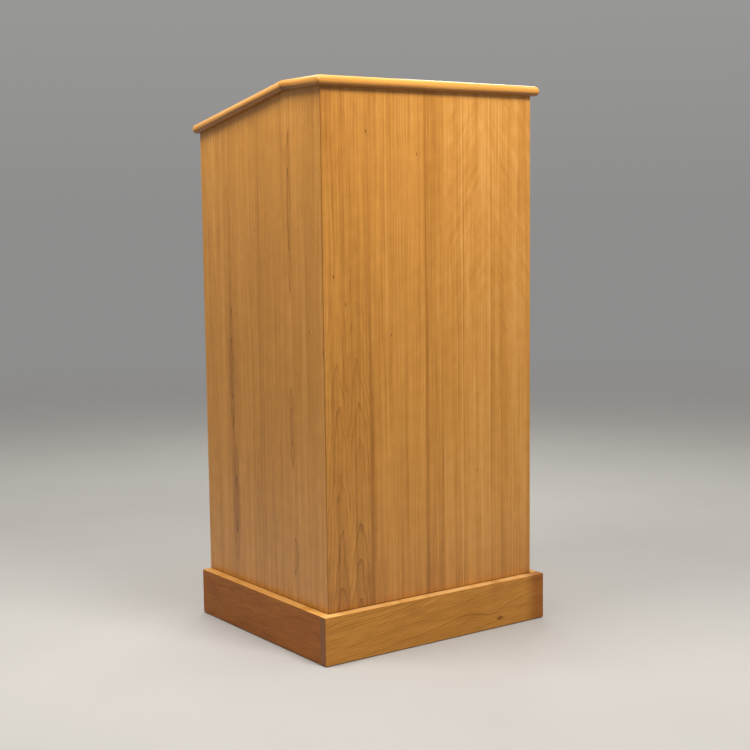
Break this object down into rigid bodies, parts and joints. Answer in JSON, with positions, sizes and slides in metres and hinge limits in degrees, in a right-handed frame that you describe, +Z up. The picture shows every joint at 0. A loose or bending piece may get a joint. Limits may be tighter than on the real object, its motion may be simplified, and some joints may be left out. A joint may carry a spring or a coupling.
{
  "type": "presentation lectern",
  "caption": "Floor-standing cherry lectern cabinet on a plinth, with a part-level, part-sloped reading top, an open speaker's compartment and a cupboard with hinged doors.",
  "frame": {"origin": "on the floor, at the middle of the cabinet's footprint, which is also the middle of the whole lectern's box", "axes": "+Z up; the face that the audience sees looks along -Y and the speaker stands on +Y; +X is on the right as the audience sees it"},
  "size_m": [0.5822, 0.5242, 1.168],
  "materials": {
    "panel_veneer": "clear satin varnish over cherry veneer, vertical grain",
    "solid_cherry": "clear satin varnish over solid cherry",
    "inner_veneer": "clear satin varnish over cherry veneer, inside the cabinet",
    "bare_wood": "planed and left bare, out of sight",
    "hinge_brass": "polished brass",
    "zinc_screw": "bright zinc plate",
    "catch_plastic": "moulded brown plastic",
    "magnet": "ground steel poles",
    "glide_plastic": "moulded black plastic"
  },
  "bodies": {
    "cabinet": {"front_panel": "panel_veneer", "left_side_panel": "panel_veneer", "right_side_panel": "panel_veneer", "level_top_panel": "panel_veneer", "reading_panel": "panel_veneer", "left_rear_lipping": "solid_cherry", "right_rear_lipping": "solid_cherry", "bottom_panel_lipping": "solid_cherry", "fixed_shelf_lipping": "solid_cherry", "top_front_nosing": "solid_cherry", "top_left_level_nosing": "solid_cherry", "top_right_level_nosing": "solid_cherry", "top_left_slope_nosing": "solid_cherry", "top_right_slope_nosing": "solid_cherry", "top_rear_nosing": "solid_cherry", "rear_top_rail": "solid_cherry", "plinth_front": "solid_cherry", "plinth_left": "solid_cherry", "plinth_right": "solid_cherry", "rear_toe_rail": "solid_cherry", "bottom_panel": "inner_veneer", "fixed_shelf": "inner_veneer", "front_top_cleat": "bare_wood", "left_top_cleat": "bare_wood", "right_top_cleat": "bare_wood", "corner_blocks": "bare_wood", "shelf_pins": "zinc_screw", "cleat_screws": "zinc_screw", "top_screws": "zinc_screw", "plinth_screws": "zinc_screw", "catch_screws": "zinc_screw", "left_hinge_frame_leaves": "hinge_brass", "right_hinge_frame_leaves": "hinge_brass", "left_hinge_pins": "hinge_brass", "right_hinge_pins": "hinge_brass", "frame_leaf_screws": "hinge_brass", "catch_housings": "catch_plastic", "catch_magnets": "magnet", "glides": "glide_plastic"},
    "left_door": {"left_door_panel": "panel_veneer", "left_door_lipping": "solid_cherry", "left_knob": "solid_cherry", "left_hinge_door_leaves": "hinge_brass", "left_door_leaf_screws": "hinge_brass", "left_knob_bolt": "zinc_screw", "left_strike_plate": "zinc_screw", "left_strike_screw": "zinc_screw"},
    "right_door": {"right_door_panel": "panel_veneer", "right_door_lipping": "solid_cherry", "right_knob": "solid_cherry", "right_hinge_door_leaves": "hinge_brass", "right_door_leaf_screws": "hinge_brass", "right_knob_bolt": "zinc_screw", "right_strike_plate": "zinc_screw", "right_strike_screw": "zinc_screw"},
    "loose_shelf": {"adjustable_shelf": "inner_veneer", "adjustable_shelf_lipping": "solid_cherry"}
  },
  "joints": [
    {"name": "left_door_hinge", "type": "hinge", "parent": "cabinet", "child": "left_door", "pos_m": [-0.2505, 0.2448, 0.47], "axis": [0, 0, 1], "range_deg": [0, 170]},
    {"name": "right_door_hinge", "type": "hinge", "parent": "cabinet", "child": "right_door", "pos_m": [0.2505, 0.2448, 0.47], "axis": [0, 0, -1], "range_deg": [0, 170]},
    {"name": "loose_shelf_lift", "type": "slide", "parent": "cabinet", "child": "loose_shelf", "axis": [0, 0, 1], "range_m": [0, 0.1]}
  ]
}
